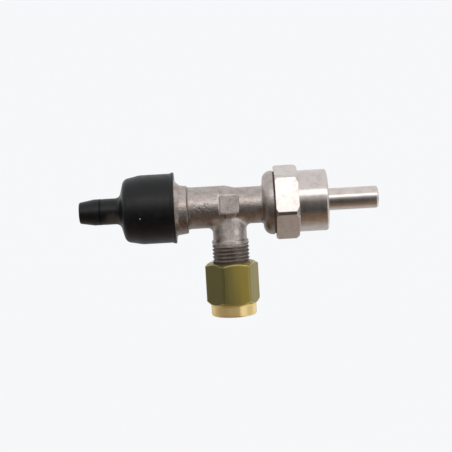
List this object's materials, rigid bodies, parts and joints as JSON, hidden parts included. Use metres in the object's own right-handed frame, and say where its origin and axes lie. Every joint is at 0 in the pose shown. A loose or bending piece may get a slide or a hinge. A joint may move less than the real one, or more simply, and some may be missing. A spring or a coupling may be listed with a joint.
{
  "type": "push-rod tee valve",
  "caption": "Forged tee valve with a push rod in a hexagonal bonnet, a rubber boot with a hose nozzle on its outlet and a brass compression nut on its threaded branch.",
  "frame": {"origin": "centre of the pipe mouth, on the outer face of the compression nut", "axes": "+Z from the pipe mouth up along the branch to the barrel, +X along the barrel towards the free end of the push rod, the picture taken from -Y"},
  "size_m": [0.1079, 0.0266, 0.0532],
  "materials": {
    "forged_nickel": "nickel-plated forging, dull",
    "turned_nickel": "nickel-plated, turned bright",
    "polished_steel": "polished",
    "gasket_fibre": "dull",
    "inner_brass": "turned",
    "nut_brass": "drawn bar with a turned collar",
    "spring_steel": "drawn wire",
    "seal_rubber": "matt",
    "boot_rubber": "matt moulded"
  },
  "bodies": {
    "valve": {"valve_body": "forged_nickel", "bonnet": "turned_nickel", "bonnet_gasket": "gasket_fibre", "outer_o_ring": "seal_rubber", "spacer_ring": "inner_brass", "inner_o_ring": "seal_rubber", "thrust_washer": "inner_brass", "gland_screw": "inner_brass", "return_spring": "spring_steel", "spring_retainer": "inner_brass", "rubber_boot": "boot_rubber"},
    "plunger": {"push_rod": "polished_steel", "seal_washer": "inner_brass", "seat_seal": "seal_rubber", "poppet": "inner_brass", "poppet_nut": "inner_brass"},
    "pipe_ferrule": {"ferrule": "inner_brass"},
    "pipe_nut": {"compression_nut": "nut_brass"}
  },
  "joints": [
    {"name": "push", "type": "slide", "parent": "valve", "child": "plunger", "axis": [-1, 0, 0], "range_m": [0, 0.004], "stiffness_N_per_m": 2000, "springref_m": -0.005, "deforming": ["return_spring"]},
    {"name": "nut_travel", "type": "slide", "parent": "valve", "child": "pipe_ferrule", "axis": [0, 0, -1], "range_m": [0, 0.00668]},
    {"name": "nut_turn", "type": "hinge", "parent": "pipe_ferrule", "child": "pipe_nut", "pos_m": [0, 0, 0], "axis": [0, 0, -1], "range_deg": [0, 1800]}
  ],
  "couplings": [
    {"joint": "nut_turn", "follows": "nut_travel", "rad_per_m": 4699.5}
  ]
}
